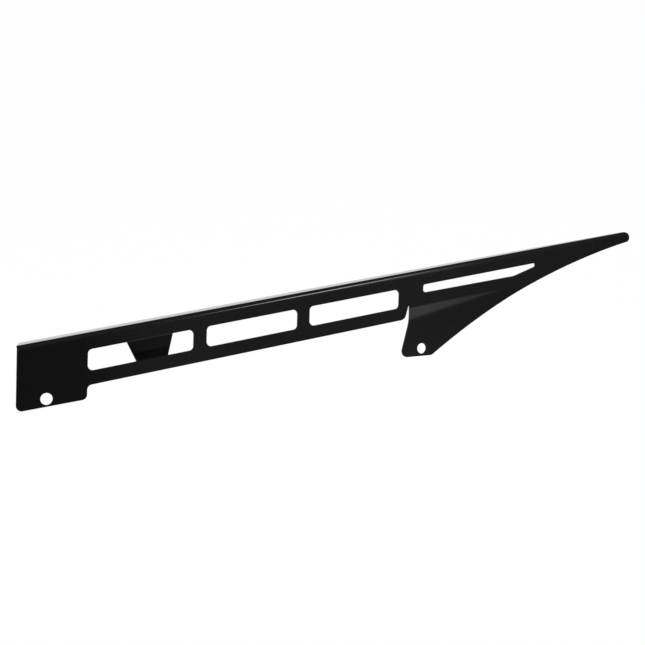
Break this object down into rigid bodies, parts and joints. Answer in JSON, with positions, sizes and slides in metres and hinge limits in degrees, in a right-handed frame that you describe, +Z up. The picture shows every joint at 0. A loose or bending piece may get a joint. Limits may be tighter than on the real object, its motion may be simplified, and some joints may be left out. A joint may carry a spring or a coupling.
{
  "type": "motorcycle chain guard",
  "caption": "Long folded sheet chain guard with a lightened side wall, a narrow top flange, a drilled front foot and a stepped rear tab that tapers into a pointed tail.",
  "frame": {"origin": "centre of the front mounting hole, on the outer face of the side wall", "axes": "+X along the top fold towards the pointed tail, +Y inboard from the outer face, +Z up"},
  "size_m": [0.5479, 0.0371, 0.0698],
  "materials": {
    "black_enamel": "gloss"
  },
  "bodies": {
    "root": {"chain_guard": "black_enamel"}
  },
  "joints": []
}
